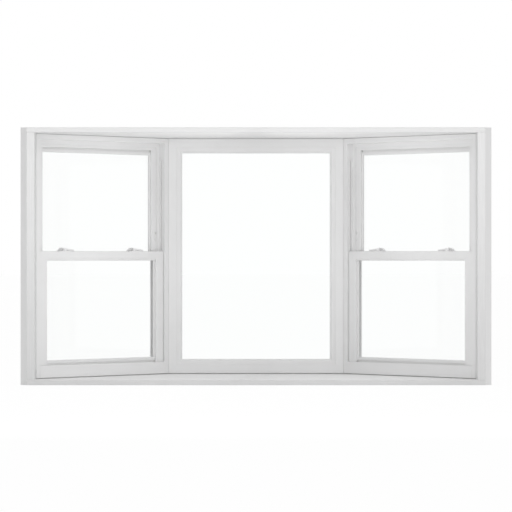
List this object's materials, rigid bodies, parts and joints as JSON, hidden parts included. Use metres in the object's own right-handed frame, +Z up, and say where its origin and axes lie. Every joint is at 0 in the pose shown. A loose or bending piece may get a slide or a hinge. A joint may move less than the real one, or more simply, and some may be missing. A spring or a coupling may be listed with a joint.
{
  "type": "bay window",
  "caption": "White 45 degree bay window: a fixed picture window between double-hung windows, with head and seat boards, side jambs and sash locks.",
  "frame": {"origin": "middle of the underside: the seat board's underside is Z = 0, X = 0 is the mirror plane, and Y = 0 is half of the overall depth", "axes": "+X along the wall to the right as seen from the room, +Y from the room to the outside, +Z up"},
  "size_m": [2.4384, 0.871, 1.333],
  "materials": {
    "vinyl": "white extruded vinyl, satin",
    "cover": "white extruded vinyl cover, satin",
    "board_laminate": "plywood core faced with smooth white laminate",
    "glass": "clear float glass",
    "spacer": "mill finish spacer bar",
    "hardware": "white powder coated die casting"
  },
  "bodies": {
    "root": {"centre_frame": "vinyl", "centre_glass": "glass", "centre_glass_spacer": "spacer", "centre_glazing_bead": "vinyl", "head_board": "board_laminate", "left_corner_cover": "cover", "left_corner_mull": "vinyl", "left_end_cover": "cover", "left_frame": "vinyl", "left_lock_keepers": "hardware", "left_lower_glass": "glass", "left_lower_glass_spacer": "spacer", "left_lower_glazing_bead": "vinyl", "left_lower_sash": "vinyl", "left_sash_locks": "hardware", "left_side_jamb": "board_laminate", "left_upper_glass": "glass", "left_upper_glass_spacer": "spacer", "left_upper_glazing_bead": "vinyl", "left_upper_sash": "vinyl", "left_vent_stops": "vinyl", "right_corner_cover": "cover", "right_corner_mull": "vinyl", "right_end_cover": "cover", "right_frame": "vinyl", "right_lock_keepers": "hardware", "right_lower_glass": "glass", "right_lower_glass_spacer": "spacer", "right_lower_glazing_bead": "vinyl", "right_lower_sash": "vinyl", "right_sash_locks": "hardware", "right_side_jamb": "board_laminate", "right_upper_glass": "glass", "right_upper_glass_spacer": "spacer", "right_upper_glazing_bead": "vinyl", "right_upper_sash": "vinyl", "right_vent_stops": "vinyl", "seat_board": "board_laminate"}
  },
  "joints": []
}
